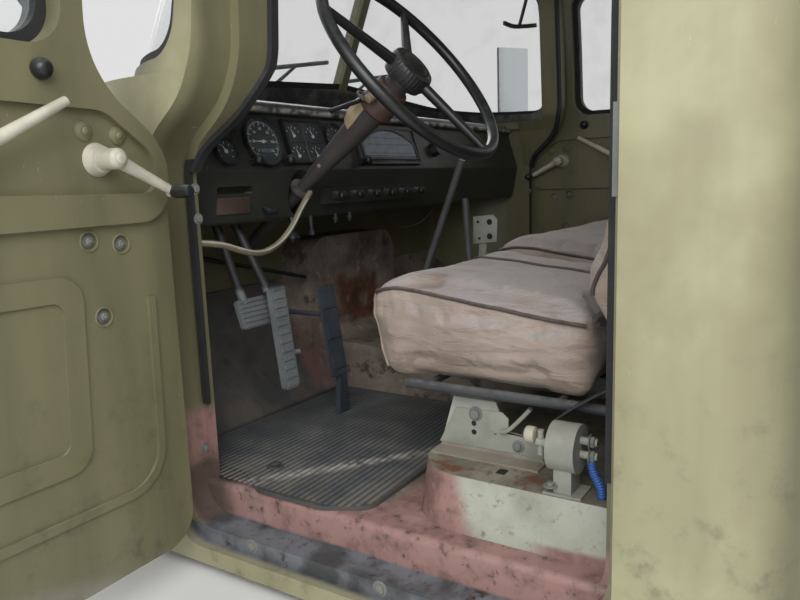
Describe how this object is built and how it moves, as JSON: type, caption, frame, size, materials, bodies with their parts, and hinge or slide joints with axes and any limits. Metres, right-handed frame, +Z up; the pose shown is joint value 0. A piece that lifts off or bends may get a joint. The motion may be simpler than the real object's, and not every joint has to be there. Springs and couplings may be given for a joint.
{
  "type": "military cargo truck cab",
  "caption": "Hollow steel driver cab of an older military cargo truck, off its chassis, with its doors, wraparound windscreen, dash, steering wheel, pedals and seats; the driver's door stands open.",
  "frame": {"origin": "centre of the four mounting holes, on the underside of the underfloor beams", "axes": "+Z up, the cab faces -Y, +X is the driver's (left) side"},
  "size_m": [2.8037, 1.41, 1.506],
  "materials": {
    "olive_paint": "semi-gloss olive paint, worn at edges",
    "glass": "clear",
    "rubber": "dusty",
    "primer_floor": "red primer and grey paint, dirty",
    "black_steel": "worn black paint",
    "dash_paint": "dark satin paint",
    "black_plastic": "worn black plastic",
    "cream_plastic": "aged cream",
    "blue_plastic": "insulation, dusty",
    "seat_cover": "brown artificial leather, worn"
  },
  "bodies": {
    "cab": {"accelerator": "black_steel", "battery_lead": "blue_plastic", "battery_switch": "black_plastic", "brake_pedal": "black_steel", "clutch_pedal": "black_steel", "control_strip": "dash_paint", "dash_panel": "dash_paint", "driver_backrest": "seat_cover", "driver_cushion": "seat_cover", "driver_seat_frame": "black_steel", "firewall": "olive_paint", "floor_mat": "rubber", "floor_pan": "primer_floor", "gear_lever": "black_steel", "hinges_left": "olive_paint", "hinges_right": "olive_paint", "instruments": "dash_paint", "mirror_left": "black_steel", "mirror_right": "black_steel", "opening_seal_left": "rubber", "opening_seal_right": "rubber", "passenger_backrest": "seat_cover", "passenger_cushion": "seat_cover", "passenger_seat_base": "black_steel", "rear_glass": "glass", "rear_glass_seal": "rubber", "rear_wall": "olive_paint", "roof": "olive_paint", "side_frame_left": "olive_paint", "side_frame_right": "olive_paint", "steering_column": "black_steel", "thin_wire": "rubber", "transfer_lever": "black_steel", "underfloor_beams": "black_steel", "windscreen_frame": "olive_paint", "windscreen_left": "glass", "windscreen_right": "glass", "windscreen_seal": "rubber", "wipers": "black_steel", "wiring_loom": "rubber"},
    "driver_door": {"driver_door_fittings": "cream_plastic", "driver_door_glass": "glass", "driver_door_handle": "black_steel", "driver_door_seal": "rubber", "driver_door_shell": "olive_paint"},
    "passenger_door": {"passenger_door_fittings": "cream_plastic", "passenger_door_glass": "glass", "passenger_door_handle": "black_steel", "passenger_door_seal": "rubber", "passenger_door_shell": "olive_paint"},
    "steering_wheel": {"steering_wheel": "black_plastic"}
  },
  "joints": [
    {"name": "driver_door_hinge", "type": "hinge", "parent": "cab", "child": "driver_door", "pos_m": [0.913, -0.354, 0.2], "axis": [0, 0, 1], "range_deg": [0, 88]},
    {"name": "passenger_door_hinge", "type": "hinge", "parent": "cab", "child": "passenger_door", "pos_m": [-0.913, -0.354, 0.2], "axis": [0, 0, 1], "range_deg": [0, 88]},
    {"name": "steering", "type": "hinge", "parent": "cab", "child": "steering_wheel", "pos_m": [0.455, -0.062, 0.943], "axis": [0, 0.7934, 0.6088], "range_deg": [-810, 810]}
  ]
}
